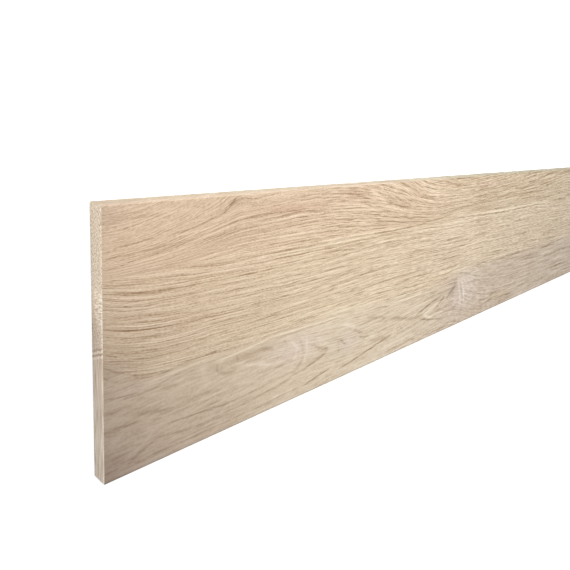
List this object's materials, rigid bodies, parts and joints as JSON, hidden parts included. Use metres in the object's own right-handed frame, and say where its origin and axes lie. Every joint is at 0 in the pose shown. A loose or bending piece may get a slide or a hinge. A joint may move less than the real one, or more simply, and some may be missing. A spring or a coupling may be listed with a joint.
{
  "type": "stair riser board",
  "caption": "Flat rectangular oak board with broken arrises, made to close the gap between two stair treads.",
  "frame": {"origin": "middle of the back face, which the board lies on", "axes": "+X along the board's length, +Y up its height as fitted on the stair, +Z out of the show face"},
  "size_m": [1.2, 0.2, 0.014],
  "materials": {
    "oak": "pale oak, matt oiled, open straight grain"
  },
  "bodies": {
    "root": {"riser_board": "oak"}
  },
  "joints": []
}
